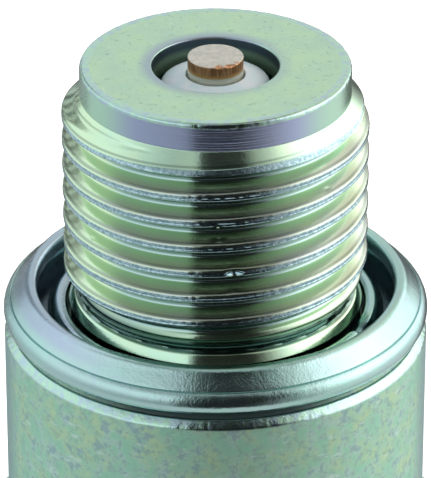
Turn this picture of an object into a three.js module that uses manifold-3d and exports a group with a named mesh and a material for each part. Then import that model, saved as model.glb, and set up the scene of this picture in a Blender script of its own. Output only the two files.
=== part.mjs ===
// Surface-discharge spark plug, M14 x 1.25, as an assembly of its separate pieces.
//
// Frame, in millimetres: +Z is the plug's axis and points out of the firing end. The origin is on the
// axis, in the plane of the shell's gasket seat. Every outline below is a list of [radius, z] points that
// goes anticlockwise round the material, and every piece is turned about Z.

import * as THREE from "three";
import { mergeVertices } from "three/addons/utils/BufferGeometryUtils.js";
import Module from "manifold-3d";

// Shell: the threaded end
const REACH = 12.7; // gasket seat to ring face
const PITCH = 1.25;
const CREST_R = 6.93;
const ROOT_R = 6.2;
const CREST_WIDTH = 0.3;
const FLANK = THREE.MathUtils.degToRad(30);
const FRONT_CREST = REACH - 1.95; // height of the first whole crest where the thread faces -Y
const PILOT_R = 6.1;
const PILOT_LENGTH = 1.31;
const FACE_CHAMFER = 0.3;
const NECK_R = 6.45; // plain neck that the gasket is captive on
const NECK_LENGTH = 1.7;
const RUN_OUT = 0.9;

// Shell: the spark ring and the bore behind it
const RING_HOLE_R = 2.86;
const RING_THICKNESS = 1.2;
const CHAMBER_R = 3.9;
const STEM_BORE_R = 5.1;
const BODY_BORE_R = 7.2;
const INNER_SEAT_Z = 3.4; // top of the 45 degree seat that carries the insulator

// Shell: barrel, thin groove, hexagon and crimped rim
const BARREL_R = 9.7;
const BARREL_CHAMFER = 0.33;
const BARREL_END = -9.6;
const GROOVE_R = 8.9;
const HEX_ACROSS_FLATS = 20.8;
const HEX_START = -11.6;
const HEX_HEIGHT = 7;
const RIM_R = 8.9;
const RIM_END = -21.9;
const RIM_ROUND = 2.4; // the rim's outer edge after crimping
const RIM_HOLE_R = 5.75;
const RIM_LIP = 0.5; // depth of the rim's hole
const RIM_SLOPE = 0.8; // depth over which it opens into the body bore

// Insulator
const NOSE_R = 2.46;
const NOSE_TOP = REACH - 0.43;
const NOSE_EDGE = REACH - 0.78;
const ELECTRODE_BORE_R = 1.34;
const SEAL_BORE_R = 2;
const SEAL_BORE_START = -2;
const FLANGE_R = 6.9;
const FLANGE_START = -6.5;
const FLANGE_END = -14.6;
const FLANGE_CHAMFER = 0.9;
const STEM_R = 5.45; // insulator where it passes through the crimped rim
const STEM_END = -22.9;
const RIB_R = 5.15;
const RIB_DEPTH = 0.45;
const RIB_COUNT = 5;
const RIB_PITCH = 2.2;
const RIB_START = -24.6;
const INSULATOR_END = -41.5;
const INSULATOR_END_R = 3.9;
const SHOULDER_R = STEM_BORE_R - 0.15; // outer edge of the insulator's 45 degree shoulder
const CHAMBER_STEM_R = CHAMBER_R - 0.3; // insulator inside the chamber

// Seals between the insulator and the shell
const WASHER_DEPTH = 0.4 * Math.SQRT2; // measured along the axis
const WIRE_R = 0.5;
const WIRE_GAP = 1; // from the flange's end to the lower wire ring's middle

// Centre electrode and what follows it down the insulator
const ELECTRODE_R = 1.25;
const ELECTRODE_TIP = REACH + 0.42;
const TIP_CHAMFER = 0.06;
const CORE_R = 0.75;
const CORE_COVER = 1.8; // nickel over the end of the copper
const HEAD_R = 1.85;
const HEAD_LENGTH = 1.3;
const SEAL_LENGTH = 3.6;
const RESISTOR_LENGTH = 8.5;

// Gasket: folded sheet, captive on the neck
const GASKET_R = 9.72;
const GASKET_HEIGHT = 1.95;
const GASKET_LIP_R = 6.8;
const SHEET = 0.4;
const ROLL_ROUND = 0.6; // outer fold
const SEAM_R = 9.34; // crease between the outer fold and the top layer
const SEAM_Z = 1.17;
const RIDGE_R = 8.5; // middle of the narrow flat on the top layer
const RIDGE_FLAT = 0.2;
const RIDGE_ROUND = 0.35;
const HEM_END = 1.2;
const LIP_HEIGHT = 1;

// Terminal
const TERMINAL_END = -50.5;
const STUD_R = 1.6;
const STUD_COLLAR_R = 2.9;
const STUD_COLLAR = 0.8;
const STUD_THREAD_R = 1.97;
const STUD_CHAMFER = 0.4;
const STUD_SHORT = 1; // the stud ends this far inside the nut
const NUT_HOLE_R = 2.03;
const NUT_R = 3.175;
const NUT_WAIST_R = 2.65;
const NUT_FLANGE_R = 4.1;
const NUT_FLANGE_HEIGHT = 1.6;
const NUT_WAIST_LENGTH = 2;
const NUT_ROUND = 0.6;
const NUT_CHAMFER = 0.3;

const PLAY = 0.05; // clearance between neighbouring pieces
const SIDES = 32; // facets round a full turn of an outer piece
const INNER_SIDES = 24; // the same for the slim and the sealed pieces

const wasm = await Module();
wasm.setup();

// ---- geometry helpers ----

function toSolid(geometry) {
  const plain = geometry.clone();
  plain.deleteAttribute("normal");
  plain.deleteAttribute("uv");
  const merged = mergeVertices(plain, 1e-4);
  const vertProperties = merged.attributes.position.array;
  const triVerts = new Uint32Array(merged.index.array);
  return new wasm.Manifold(new wasm.Mesh({ numProp: 3, vertProperties, triVerts }));
}

function toGeometry(solid) {
  const mesh = solid.getMesh();
  const geometry = new THREE.BufferGeometry();
  geometry.setAttribute("position", new THREE.BufferAttribute(mesh.vertProperties, 3));
  geometry.setIndex(new THREE.BufferAttribute(mesh.triVerts, 1));
  return geometry;
}

// A closed outline of [radius, z] points, turned about the Z axis.
function turned(outline, sides = SIDES) {
  const points = [...outline, outline[0]].map(([r, z]) => new THREE.Vector2(r, z));
  return new THREE.LatheGeometry(points, sides).rotateX(Math.PI / 2);
}

// Points along an arc in the [radius, z] plane, angles in degrees from the outward direction.
function arc(r, z, radius, from, to, steps) {
  return Array.from({ length: steps + 1 }, (_, i) => {
    const angle = THREE.MathUtils.degToRad(from + ((to - from) * i) / steps);
    return [r + radius * Math.cos(angle), z + radius * Math.sin(angle)];
  });
}

// A ridge of the given [radius, height] section, wound down a right-hand helix past both heights. Its
// steps are whole facets of a turned piece, and it passes FRONT_CREST where it faces -Y.
function helicalRidge(section, top, bottom) {
  const facetsAbove = Math.ceil(((top - FRONT_CREST) / PITCH) * SIDES);
  const facetsBelow = Math.ceil(((FRONT_CREST - bottom) / PITCH) * SIDES);
  const steps = facetsAbove + facetsBelow;
  const shape = new THREE.Shape(section.map(([r, h]) => new THREE.Vector2(r, h)));
  const straight = new THREE.ExtrudeGeometry(shape, { depth: steps, steps, bevelEnabled: false });
  const position = straight.attributes.position;
  for (let i = 0; i < position.count; i += 1) {
    const turns = (facetsAbove - position.getZ(i)) / SIDES;
    const angle = 2 * Math.PI * (turns - 0.25);
    const r = position.getX(i);
    const z = FRONT_CREST + PITCH * turns + position.getY(i);
    position.setXYZ(i, r * Math.cos(angle), r * Math.sin(angle), z);
  }
  return straight;
}

function hexagonalPrism(acrossFlats, start, height) {
  const cornerR = acrossFlats / Math.sqrt(3);
  const corners = Array.from({ length: 6 }, (_, i) => {
    const angle = (Math.PI / 3) * (i + 0.5);
    return new THREE.Vector2(cornerR * Math.cos(angle), cornerR * Math.sin(angle));
  });
  const prism = new THREE.ExtrudeGeometry(new THREE.Shape(corners), { depth: height, bevelEnabled: false });
  return prism.translate(0, 0, start - height);
}

// ---- shell ----

// Thread ridge: full height between the 45 degree lead-in under the pilot and the run-out above the neck.
function threadRidge() {
  const sunk = ROOT_R - PLAY;
  const crest = CREST_WIDTH / 2;
  const base = crest + (CREST_R - sunk) * Math.tan(FLANK);
  const section = [
    [sunk, -base],
    [CREST_R, -crest],
    [CREST_R, crest],
    [sunk, base],
  ];
  const pilotEnd = REACH - PILOT_LENGTH;
  const leadIn = CREST_R - PILOT_R;
  const inner = sunk - 0.2;
  const envelope = turned([
    [inner, NECK_LENGTH - PITCH],
    [NECK_R - PLAY, NECK_LENGTH - PITCH],
    [NECK_R - PLAY, NECK_LENGTH],
    [CREST_R, NECK_LENGTH + RUN_OUT],
    [CREST_R, pilotEnd - leadIn],
    [PILOT_R, pilotEnd],
    [inner, pilotEnd],
  ]);
  const ridge = helicalRidge(section, pilotEnd + PITCH / 2, NECK_LENGTH - PITCH / 2);
  return toSolid(ridge).intersect(toSolid(envelope));
}

// Hexagon with its corners chamfered at 30 degrees on both ends.
function hexagon() {
  const flatR = HEX_ACROSS_FLATS / 2;
  const cornerR = HEX_ACROSS_FLATS / Math.sqrt(3);
  const drop = (cornerR - flatR) * Math.tan(Math.PI / 6);
  const end = HEX_START - HEX_HEIGHT;
  const rounding = turned([
    [0, end],
    [flatR, end],
    [cornerR, end + drop],
    [cornerR, HEX_START - drop],
    [flatR, HEX_START],
    [0, HEX_START],
  ]);
  return toSolid(hexagonalPrism(HEX_ACROSS_FLATS, HEX_START, HEX_HEIGHT)).intersect(toSolid(rounding));
}

function shell() {
  const pilotEnd = REACH - PILOT_LENGTH;
  const outside = turned([
    [0, RIM_END],
    ...arc(RIM_R - RIM_ROUND, RIM_END + RIM_ROUND, RIM_ROUND, -90, 0, 5),
    [RIM_R, HEX_START],
    [GROOVE_R, HEX_START],
    [GROOVE_R, BARREL_END - (BARREL_R - GROOVE_R) / 2],
    [BARREL_R, BARREL_END],
    [BARREL_R, -BARREL_CHAMFER],
    [BARREL_R - BARREL_CHAMFER, 0],
    [NECK_R, 0],
    [NECK_R, NECK_LENGTH],
    [ROOT_R, NECK_LENGTH + RUN_OUT / 2],
    [ROOT_R, pilotEnd - (ROOT_R - PILOT_R)],
    [PILOT_R, pilotEnd],
    [PILOT_R, REACH - FACE_CHAMFER / 2],
    [PILOT_R - FACE_CHAMFER, REACH],
    [0, REACH],
  ]);
  const seatWidth = STEM_BORE_R - CHAMBER_R;
  const stepStart = FLANGE_START + 1;
  const bore = turned([
    [0, RIM_END - 1],
    [RIM_HOLE_R, RIM_END - 1],
    [RIM_HOLE_R, RIM_END + RIM_LIP],
    [BODY_BORE_R, RIM_END + RIM_LIP + RIM_SLOPE],
    [BODY_BORE_R, stepStart],
    [STEM_BORE_R, stepStart + BODY_BORE_R - STEM_BORE_R],
    [STEM_BORE_R, INNER_SEAT_Z - seatWidth],
    [CHAMBER_R, INNER_SEAT_Z],
    [CHAMBER_R, REACH - RING_THICKNESS],
    [RING_HOLE_R, REACH - RING_THICKNESS],
    [RING_HOLE_R, REACH + 1],
    [0, REACH + 1],
  ]);
  const whole = toSolid(outside).add(hexagon()).add(threadRidge());
  return toGeometry(whole.subtract(toSolid(bore)));
}

// ---- gasket ----

// Sheet folded into a ring. The bottom layer turns up into an outer fold. From a seam above the fold the top
// layer slopes up to a ridge and ends in a hem. An inner lip, turned up, keeps the ring on the neck.
function gasket() {
  const foldR = GASKET_R - ROLL_ROUND;
  const foldBoreR = ROLL_ROUND - SHEET;
  const ridgeZ = GASKET_HEIGHT - RIDGE_ROUND;
  const hemR = RIDGE_R - RIDGE_FLAT / 2 - RIDGE_ROUND;
  const lipFoot = GASKET_LIP_R + SHEET / 2;
  return turned([
    [lipFoot, 0],
    ...arc(foldR, ROLL_ROUND, ROLL_ROUND, -90, 60, 5),
    [SEAM_R, SEAM_Z],
    ...arc(RIDGE_R + RIDGE_FLAT / 2, ridgeZ, RIDGE_ROUND, 36, 90, 3),
    ...arc(RIDGE_R - RIDGE_FLAT / 2, ridgeZ, RIDGE_ROUND, 90, 180, 3),
    [hemR, HEM_END],
    [hemR + SHEET, HEM_END],
    [hemR + SHEET, ridgeZ - RIDGE_ROUND / 3],
    ...arc(foldR, ROLL_ROUND, foldBoreR, 90, -90, 4),
    [lipFoot + SHEET, SHEET],
    [GASKET_LIP_R + SHEET, LIP_HEIGHT],
    [GASKET_LIP_R, LIP_HEIGHT],
    [GASKET_LIP_R, SHEET / 2],
  ]);
}

// ---- insulator and its seals ----

// The ribs: rounded grooves cut into the stem, listed from the terminal end towards the rim.
function ribOutline() {
  const grooves = Array.from({ length: RIB_COUNT }, (_, i) => RIB_START - RIB_PITCH * (RIB_COUNT - 1 - i));
  const halfWidth = RIB_PITCH * 0.3;
  return grooves.flatMap((z) => [
    [RIB_R, z - halfWidth],
    [RIB_R - RIB_DEPTH, z - halfWidth / 2],
    [RIB_R - RIB_DEPTH, z + halfWidth / 2],
    [RIB_R, z + halfWidth],
  ]);
}

function insulator() {
  const endRound = 0.4;
  const noseRound = 0.15;
  const shoulderLow = INNER_SEAT_Z - WASHER_DEPTH - (SHOULDER_R - CHAMBER_R);
  const shoulderHigh = INNER_SEAT_Z - WASHER_DEPTH + (CHAMBER_R - CHAMBER_STEM_R);
  return turned([
    [SEAL_BORE_R, INSULATOR_END],
    [INSULATOR_END_R - endRound, INSULATOR_END],
    ...arc(INSULATOR_END_R - endRound, INSULATOR_END + endRound, endRound, -60, 0, 2),
    ...ribOutline(),
    [STEM_R, STEM_END],
    [STEM_R, FLANGE_END - FLANGE_CHAMFER],
    [FLANGE_R, FLANGE_END],
    [FLANGE_R, FLANGE_START],
    [SHOULDER_R, FLANGE_START + FLANGE_R - SHOULDER_R],
    [SHOULDER_R, shoulderLow],
    [CHAMBER_STEM_R, shoulderHigh],
    [CHAMBER_STEM_R, shoulderHigh + 2 * endRound],
    [NOSE_R, REACH - 1.5 * RING_THICKNESS],
    [NOSE_R, NOSE_EDGE - noseRound],
    [NOSE_R - noseRound, NOSE_EDGE],
    [(NOSE_R + ELECTRODE_BORE_R) / 2, (NOSE_EDGE + 2 * NOSE_TOP) / 3],
    [ELECTRODE_BORE_R, NOSE_TOP],
    [ELECTRODE_BORE_R, SEAL_BORE_START],
    [SEAL_BORE_R, SEAL_BORE_START],
  ]);
}

// Conical sheet washer between the shell's inner seat and the insulator's shoulder.
function seatWasher() {
  const clear = PLAY * Math.SQRT2;
  const inner = CHAMBER_R + PLAY;
  const outer = SHOULDER_R - PLAY;
  const width = outer - inner;
  const top = INNER_SEAT_Z - PLAY - clear;
  const bottom = INNER_SEAT_Z - PLAY - WASHER_DEPTH + clear;
  const section = [
    [inner, bottom],
    [outer, bottom - width],
    [outer, top - width],
    [inner, top],
  ];
  return turned(section, INNER_SIDES);
}

const WIRE_CENTRE_R = (STEM_R + BODY_BORE_R) / 2;
const LOWER_WIRE_Z = FLANGE_END - WIRE_GAP;
const UPPER_WIRE_Z = RIM_END + RIM_LIP + RIM_SLOPE + WIRE_R - PLAY;

function wireRing(z) {
  return turned(arc(WIRE_CENTRE_R, z, WIRE_R, 0, 315, 7), INNER_SIDES);
}

// Compressed sealing powder between the two wire rings.
function talcFill() {
  const low = UPPER_WIRE_Z + WIRE_R + PLAY;
  const high = LOWER_WIRE_Z - WIRE_R - PLAY;
  const section = [
    [STEM_R + PLAY, low],
    [BODY_BORE_R - PLAY, low],
    [BODY_BORE_R - PLAY, high],
    [STEM_R + PLAY, high],
  ];
  return turned(section, INNER_SIDES);
}

// ---- conductors ----

const HEAD_END = SEAL_BORE_START - PLAY - HEAD_LENGTH;

// Nickel cup round the copper: a plain pin at the firing end and a head inside the insulator.
function electrodeSheath() {
  const outline = [
    [CORE_R + PLAY, HEAD_END],
    [HEAD_R, HEAD_END],
    [HEAD_R, SEAL_BORE_START - PLAY],
    [ELECTRODE_R, SEAL_BORE_START - PLAY],
    [ELECTRODE_R, ELECTRODE_TIP - TIP_CHAMFER],
    [ELECTRODE_R - TIP_CHAMFER, ELECTRODE_TIP],
    [0, ELECTRODE_TIP],
    [0, ELECTRODE_TIP - CORE_COVER],
    [CORE_R + PLAY, ELECTRODE_TIP - CORE_COVER - CORE_R],
  ];
  return turned(outline, INNER_SIDES);
}

function electrodeCore() {
  const outline = [
    [0, HEAD_END],
    [CORE_R, HEAD_END],
    [CORE_R, ELECTRODE_TIP - CORE_COVER - CORE_R - PLAY],
    [0, ELECTRODE_TIP - CORE_COVER - PLAY],
  ];
  return turned(outline, INNER_SIDES);
}

// A plain column in the insulator's seal bore, from one height down by its length.
function column(top, length) {
  const r = SEAL_BORE_R - PLAY;
  const outline = [
    [0, top - length],
    [r, top - length],
    [r, top],
    [0, top],
  ];
  return turned(outline, INNER_SIDES);
}

const LOWER_SEAL_TOP = HEAD_END - PLAY;
const RESISTOR_TOP = LOWER_SEAL_TOP - SEAL_LENGTH - PLAY;
const UPPER_SEAL_TOP = RESISTOR_TOP - RESISTOR_LENGTH - PLAY;
const STUD_START = UPPER_SEAL_TOP - SEAL_LENGTH - PLAY;

// Steel stud: shank in the bore, collar on the insulator's end, threaded end for the terminal nut.
function terminalStud() {
  const collarTop = INSULATOR_END - PLAY;
  const collarEnd = collarTop - STUD_COLLAR;
  const tip = TERMINAL_END + STUD_SHORT;
  const outline = [
    [0, tip],
    [STUD_THREAD_R - STUD_CHAMFER, tip],
    [STUD_THREAD_R, tip + STUD_CHAMFER],
    [STUD_THREAD_R, collarEnd],
    [STUD_COLLAR_R, collarEnd],
    [STUD_COLLAR_R, collarTop],
    [STUD_R, collarTop],
    [STUD_R, STUD_START],
    [0, STUD_START],
  ];
  return turned(outline, INNER_SIDES);
}

// Removable nut: flange on the stud's collar, waist that a plug cap snaps into, rounded head.
function terminalNut() {
  const top = INSULATOR_END - 2 * PLAY - STUD_COLLAR;
  const flangeEnd = top - NUT_FLANGE_HEIGHT;
  const waistEnd = flangeEnd - NUT_WAIST_LENGTH;
  const bevel = NUT_R - NUT_WAIST_R;
  return turned([
    [NUT_HOLE_R, TERMINAL_END],
    ...arc(NUT_R - NUT_ROUND, TERMINAL_END + NUT_ROUND, NUT_ROUND, -90, 0, 3),
    [NUT_R, waistEnd - bevel],
    [NUT_WAIST_R, waistEnd],
    [NUT_WAIST_R, flangeEnd],
    [NUT_FLANGE_R - NUT_CHAMFER, flangeEnd],
    [NUT_FLANGE_R, flangeEnd + NUT_CHAMFER],
    [NUT_FLANGE_R, top],
    [NUT_HOLE_R, top],
  ]);
}

// ---- assembly ----

const finishes = {
  zincSteel: { color: 0xb4cdbf, roughness: 0.3, metalness: 1 },
  gasketSteel: { color: 0xa7b9bd, roughness: 0.4, metalness: 1 },
  ceramic: { color: 0xf2f0ee, roughness: 0.25, metalness: 0 },
  nickel: { color: 0xb09a86, roughness: 0.45, metalness: 1 },
  copper: { color: 0xc27a55, roughness: 0.35, metalness: 1 },
  talc: { color: 0xd8d4c8, roughness: 0.95, metalness: 0 },
  sealGlass: { color: 0x3d3a36, roughness: 0.5, metalness: 0.2 },
  resistor: { color: 0x2b2a2a, roughness: 0.8, metalness: 0 },
  steel: { color: 0x9a9a98, roughness: 0.4, metalness: 1 },
  nickelPlate: { color: 0xc9c6bd, roughness: 0.25, metalness: 1 },
};

function piece(name, geometry, finish) {
  const mesh = new THREE.Mesh(geometry, new THREE.MeshStandardMaterial(finish));
  mesh.name = name;
  return mesh;
}

const plug = new THREE.Group();
plug.add(
  piece("shell", shell(), finishes.zincSteel),
  piece("gasket", gasket(), finishes.gasketSteel),
  piece("insulator", insulator(), finishes.ceramic),
  piece("seat_washer", seatWasher(), finishes.steel),
  piece("lower_wire_ring", wireRing(LOWER_WIRE_Z), finishes.steel),
  piece("talc_fill", talcFill(), finishes.talc),
  piece("upper_wire_ring", wireRing(UPPER_WIRE_Z), finishes.steel),
  piece("electrode_sheath", electrodeSheath(), finishes.nickel),
  piece("electrode_core", electrodeCore(), finishes.copper),
  piece("lower_glass_seal", column(LOWER_SEAL_TOP, SEAL_LENGTH), finishes.sealGlass),
  piece("resistor", column(RESISTOR_TOP, RESISTOR_LENGTH), finishes.resistor),
  piece("upper_glass_seal", column(UPPER_SEAL_TOP, SEAL_LENGTH), finishes.sealGlass),
  piece("terminal_stud", terminalStud(), finishes.steel),
  piece("terminal_nut", terminalNut(), finishes.nickelPlate),
);

export default plug;
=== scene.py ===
"""Looks of a surface-discharge spark plug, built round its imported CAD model.

Every length is in metres in the CAD frame: +Z is the axis, out of the firing end, and z = 0 is the gasket
seat. The visible pieces are turned outlines with fine detail; the sealed inner ones keep their CAD solids.
"""
import math
from types import SimpleNamespace

import bmesh
import bpy
import numpy as np
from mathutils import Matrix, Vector, noise

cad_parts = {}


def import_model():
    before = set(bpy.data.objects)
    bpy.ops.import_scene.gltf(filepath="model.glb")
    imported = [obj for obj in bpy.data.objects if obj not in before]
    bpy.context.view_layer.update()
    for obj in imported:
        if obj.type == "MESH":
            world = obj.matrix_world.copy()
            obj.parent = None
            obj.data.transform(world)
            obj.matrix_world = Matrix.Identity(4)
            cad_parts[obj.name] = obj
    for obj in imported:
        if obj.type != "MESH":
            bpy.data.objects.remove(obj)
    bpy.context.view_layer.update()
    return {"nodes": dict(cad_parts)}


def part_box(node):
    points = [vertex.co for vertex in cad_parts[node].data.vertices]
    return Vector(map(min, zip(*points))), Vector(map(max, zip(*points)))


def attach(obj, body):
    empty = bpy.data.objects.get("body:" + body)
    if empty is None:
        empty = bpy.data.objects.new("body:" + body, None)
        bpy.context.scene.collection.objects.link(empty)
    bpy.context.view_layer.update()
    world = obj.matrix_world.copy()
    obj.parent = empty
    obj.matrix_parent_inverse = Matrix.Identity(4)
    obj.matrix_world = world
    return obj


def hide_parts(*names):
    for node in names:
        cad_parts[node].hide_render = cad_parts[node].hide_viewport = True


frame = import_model()

MM = 0.001


# ---- sizes read from the frame ----

def radii_between(node, low, high):
    """Distances from the axis of a CAD node's points between two heights."""
    points = [v.co for v in frame["nodes"][node].data.vertices if low <= v.co.z <= high]
    return [math.hypot(p.x, p.y) for p in points]


FACE_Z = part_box("shell")[1].z
RIM_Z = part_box("shell")[0].z
HOLE_R = min(radii_between("shell", FACE_Z - 0.1 * MM, FACE_Z))
PILOT_R = max(radii_between("shell", FACE_Z - 1.2 * MM, FACE_Z - 0.1 * MM))
CREST_R = max(radii_between("shell", 4 * MM, 8 * MM))
NECK_R = max(radii_between("shell", 1 * MM, 1.71 * MM))
BARREL_R = max(radii_between("shell", -9 * MM, -0.2 * MM))
FLAT_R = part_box("shell")[1].x
GASKET_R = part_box("gasket")[1].x
GASKET_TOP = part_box("gasket")[1].z
NOSE_R = max(radii_between("insulator", FACE_Z - 1.5 * MM, FACE_Z))
NOSE_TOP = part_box("insulator")[1].z
INSULATOR_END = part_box("insulator")[0].z
TIP_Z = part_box("electrode_sheath")[1].z
HEAD_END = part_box("electrode_sheath")[0].z
ELECTRODE_R = max(radii_between("electrode_sheath", 5 * MM, TIP_Z))
STUD_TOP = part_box("terminal_stud")[1].z
STUD_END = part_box("terminal_stud")[0].z
NUT_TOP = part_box("terminal_nut")[1].z
NUT_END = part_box("terminal_nut")[0].z
NUT_R = max(radii_between("terminal_nut", NUT_END, NUT_END + 2 * MM))
NUT_FLANGE_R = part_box("terminal_nut")[1].x

# Sizes that the frame's boxes and radii don't give
PITCH = 1.25 * MM
CREST_WIDTH = 0.3 * MM
ROOT_ROUND = 0.16 * MM
FLANK_SLOPE = math.tan(math.radians(30))
THREAD_DEPTH = (PITCH - CREST_WIDTH) / 2 / FLANK_SLOPE - ROOT_ROUND
ROOT_R = CREST_R - THREAD_DEPTH
FRONT_CREST = FACE_Z - 1.95 * MM
PILOT_END = FACE_Z - 1.31 * MM
NECK_END = 1.75 * MM
FLARE_END = 1.05 * MM
FLARE_R = NECK_R + 0.25 * MM
SEAT_STEP = 0.2 * MM
BARREL_CHAMFER = 0.33 * MM
BARREL_EDGE = -SEAT_STEP - BARREL_CHAMFER
BARREL_END = -9.6 * MM
HEX_START = -11.6 * MM
HEX_END = -18.6 * MM
CORNER_R = FLAT_R * 2 / math.sqrt(3)


# ---- mesh helpers ----

def in_mm(*lengths):
    """Lengths in millimetres, for drawing outlines."""
    return [length / MM for length in lengths]


def rounded(outline, steps=4):
    """An open outline of (radius, z, fillet) corners in mm, as points in metres with the corners rounded."""
    points = []
    for i, (r, z, fillet) in enumerate(outline):
        corner = Vector((r, z))
        if fillet == 0:
            points.append(corner)
            continue
        start = corner + (Vector(outline[i - 1][:2]) - corner).normalized() * fillet
        end = corner + (Vector(outline[i + 1][:2]) - corner).normalized() * fillet
        for k in range(steps + 1):
            t = k / steps
            points.append(start * (1 - t) ** 2 + corner * (2 * t * (1 - t)) + end * t ** 2)
    return np.array([(p.x, p.y) for p in points]) * MM


def rows_of(outline, spacing, columns):
    """The outline's points, with more between them where they are far apart, as rows round the axis."""
    points = [outline[0]]
    for a, b in zip(outline[:-1], outline[1:]):
        steps = max(1, math.ceil(np.linalg.norm(b - a) / spacing))
        points.extend(a + (b - a) * (k + 1) / steps for k in range(steps))
    points = np.array(points)
    radii = np.repeat(points[:, :1], columns + 1, axis=1)
    heights = np.repeat(points[:, 1:], columns + 1, axis=1)
    return radii, heights


def joined(parts):
    """The (radii, heights) rows of several parts, one after the other."""
    return np.concatenate([r for r, _ in parts]), np.concatenate([z for _, z in parts])


def wound_rows(radius_at, pitch, crest_z, top, bottom, columns, per_pitch):
    """Rows that follow a right-hand helix, cut off level at both ends. crest_z is where a crest faces +X, and
    radius_at(height, phase) gives the radius, phase being the height above the nearest crest."""
    turn = np.linspace(0, 1, columns + 1)
    step = pitch / per_pitch
    first = crest_z + math.ceil((top - crest_z) / pitch) * pitch
    count = math.ceil((first - bottom) / step) + per_pitch + 1
    wound = first - step * np.arange(count)[:, None] + pitch * turn
    heights = np.clip(wound, bottom, top)
    phase = (heights - crest_z - pitch * turn + pitch / 2) % pitch - pitch / 2
    return radius_at(heights, phase), heights


def grid_piece(name, radii, heights, sharp=35):
    """A closed piece from rows of points round the axis, the last column on top of the first."""
    rows, columns = radii.shape
    angle = column_angles(columns)
    points = np.stack([radii * np.cos(angle), radii * np.sin(angle), heights], axis=2)
    index = np.arange(rows * columns).reshape(rows, columns)
    above = np.roll(index, -1, axis=0)
    faces = np.stack([index[:, :-1], index[:, 1:], above[:, 1:], above[:, :-1]], axis=2).reshape(-1, 4)
    mesh = bpy.data.meshes.new(name)
    mesh.from_pydata(points.reshape(-1, 3).tolist(), [], faces.tolist())
    welded(mesh)
    mesh.shade_smooth()
    mesh.set_sharp_from_angle(angle=math.radians(sharp))
    piece = bpy.data.objects.new(name, mesh)
    bpy.context.scene.collection.objects.link(piece)
    return piece


def welded(mesh):
    """Merges coinciding points and turns the faces outwards."""
    shape = bmesh.new()
    shape.from_mesh(mesh)
    bmesh.ops.remove_doubles(shape, verts=shape.verts, dist=0.002 * MM)
    bmesh.ops.dissolve_degenerate(shape, edges=shape.edges, dist=0.001 * MM)
    bmesh.ops.recalc_face_normals(shape, faces=shape.faces)
    shape.to_mesh(mesh)
    shape.free()


def column_angles(columns):
    return np.linspace(0, 2 * math.pi, columns)


def lumps(radii, heights, size, seed=0.0):
    """Smooth noise from -1 to 1 at each point of a grid, with features of about the given size."""
    angle = column_angles(radii.shape[1])
    x, y = radii * np.cos(angle) / size, radii * np.sin(angle) / size
    z = heights / size + seed
    values = [noise.noise(Vector(p)) for p in zip(x.ravel(), y.ravel(), z.ravel())]
    return np.array(values).reshape(radii.shape)


def smooth(low, high, value):
    """0 at low, 1 at high and a smooth step between; low may be the larger."""
    t = np.clip((value - low) / (high - low), 0, 1)
    return t * t * (3 - 2 * t)


def bell(value, middle, width):
    """1 in the middle, falling to 0 over about twice the width on each side."""
    return np.exp(-(((value - middle) / width) ** 2))


def near_angle(columns, degrees, width):
    """1 at an angle round the axis, falling to 0 over about twice the width, both in degrees."""
    away = (np.degrees(column_angles(columns)) - degrees + 180) % 360 - 180
    return bell(away, 0, width)


# ---- shell ----

SHELL_COLUMNS = 480
ROWS_PER_PITCH = 30

# Nicks in the thread's crests: degrees round the axis, height in mm, depth in mm
NICKS = ((277, 5.72, 0.22), (271, 8.0, 0.1), (214, 6.1, 0.2), (318, 8.9, 0.1))


def thread_radius(height, phase):
    """Rolled thread: round root, crest with a fine closing seam, lead-in, and run-out into the neck."""
    away = np.abs(phase)
    flank = (away - CREST_WIDTH / 2) / FLANK_SLOPE
    crest_round = np.where(phase > 0, 0.07, 0.03) * MM
    drop = (flank + np.sqrt(flank ** 2 + crest_round ** 2)) / 2
    from_root = np.minimum(PITCH / 2 - away, ROOT_ROUND)
    root = THREAD_DEPTH - ROOT_ROUND + np.sqrt(ROOT_ROUND ** 2 - from_root ** 2)
    in_root = PITCH / 2 - away < ROOT_ROUND * math.cos(math.radians(30))
    drop = np.where(in_root, root, drop)
    seam = 0.035 * MM * bell(phase, -0.045 * MM, 0.022 * MM)
    ridge = CREST_R - drop - seam
    ridge = ROOT_R + (ridge - ROOT_R) * smooth(NECK_END - 0.1 * MM, NECK_END + 1.2 * MM, height)
    lead_in = PILOT_R + PILOT_END - height
    return np.maximum(np.minimum(ridge, lead_in), flare_radius(height - FLARE_END))


def flare_radius(rise):
    """The neck's foot, from its widest place upwards: a slope, a step down and one raised ring."""
    slope, step_down, ring = 0.6, 0.25 * MM, 0.06 * MM
    flare = FLARE_R - rise * slope - step_down * smooth(0.36 * MM, 0.56 * MM, rise)
    return np.minimum(flare + ring * bell(rise, 0.78 * MM, 0.09 * MM), FLARE_R)


def threaded_rows():
    """The thread from pilot to neck, its crests rough where the metal closed up and nicked here and there."""
    crest_at_x = FRONT_CREST + PITCH / 4
    top, bottom = PILOT_END - 0.02 * MM, FLARE_END
    columns = SHELL_COLUMNS
    radii, heights = wound_rows(thread_radius, PITCH, crest_at_x, top, bottom, columns, ROWS_PER_PITCH)
    on_crest = smooth(CREST_R - 0.05 * MM, CREST_R - 0.015 * MM, radii)
    scale_size, scale_depth = 0.14 * MM, 0.016 * MM
    scales = lumps(radii, heights, scale_size)
    radii = radii - on_crest * np.clip(scales + 0.1, 0, 1) * scale_depth
    nick_degrees, nick_height = 2.2, 0.14 * MM
    for degrees, z, depth in NICKS:
        nick = near_angle(columns + 1, degrees, nick_degrees) * bell(heights, z * MM, nick_height)
        radii = np.where(radii > ROOT_R + 0.3 * MM, radii - nick * depth * MM, radii)
    return radii, heights


def hexagonal(rows):
    """Rows cut by the six flats; one flat faces +X."""
    radii, heights = rows
    sixth = math.pi / 3
    from_flat = (column_angles(radii.shape[1]) + sixth / 2) % sixth - sixth / 2
    return np.minimum(radii, FLAT_R / np.cos(from_flat)), heights


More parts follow.
